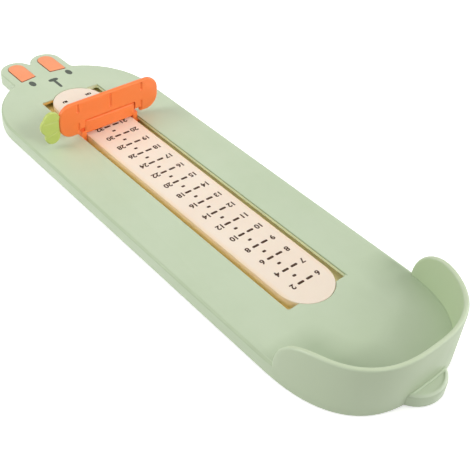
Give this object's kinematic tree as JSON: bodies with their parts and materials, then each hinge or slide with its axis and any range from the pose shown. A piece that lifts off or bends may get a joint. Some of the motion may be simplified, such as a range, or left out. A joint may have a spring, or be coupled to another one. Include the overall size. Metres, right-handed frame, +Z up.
{
  "type": "foot measuring device",
  "caption": "Child's foot length gauge: flat rabbit-shaped board with a heel cup, a numbered rail in a slot, and a folding carrot stop that slides along it.",
  "frame": {"origin": "middle of the outline, on the plane the rubber feet stand on", "axes": "+Z up; +Y along the board from the heel cup to the rabbit ears; +X to the right as seen from the heel cup"},
  "size_m": [0.0892, 0.3158, 0.0292],
  "materials": {
    "sage_plastic": "satin moulded sage green plastic",
    "cream_plastic": "satin moulded cream plastic with a dark brown printed scale",
    "pale_orange_plastic": "matte pale orange plastic",
    "orange_plastic": "satin moulded orange plastic",
    "leaf_plastic": "satin moulded yellow-green plastic",
    "grey_rubber": "matte grey rubber",
    "steel": "bright plain steel"
  },
  "bodies": {
    "board": {"base_board": "sage_plastic", "scale_tray": "cream_plastic", "ear_inlay_left": "pale_orange_plastic", "ear_inlay_right": "pale_orange_plastic", "tray_screw_1": "steel", "tray_screw_2": "steel", "tray_screw_3": "steel", "tray_screw_4": "steel", "tray_screw_5": "steel", "tray_screw_6": "steel", "tray_screw_7": "steel", "tray_screw_8": "steel", "rubber_foot_1": "grey_rubber", "rubber_foot_2": "grey_rubber", "rubber_foot_3": "grey_rubber", "rubber_foot_4": "grey_rubber"},
    "slider": {"slider_saddle": "orange_plastic", "hinge_pin": "steel"},
    "stop": {"carrot_panel": "orange_plastic", "carrot_leaf": "leaf_plastic"}
  },
  "joints": [
    {"name": "slider_travel", "type": "slide", "parent": "board", "child": "slider", "axis": [0, 1, 0], "range_m": [-0.1584, 0.0312]},
    {"name": "stop_fold", "type": "hinge", "parent": "slider", "child": "stop", "pos_m": [0, 0.0712, 0.0146], "axis": [1, 0, 0], "range_deg": [0, 90]}
  ]
}
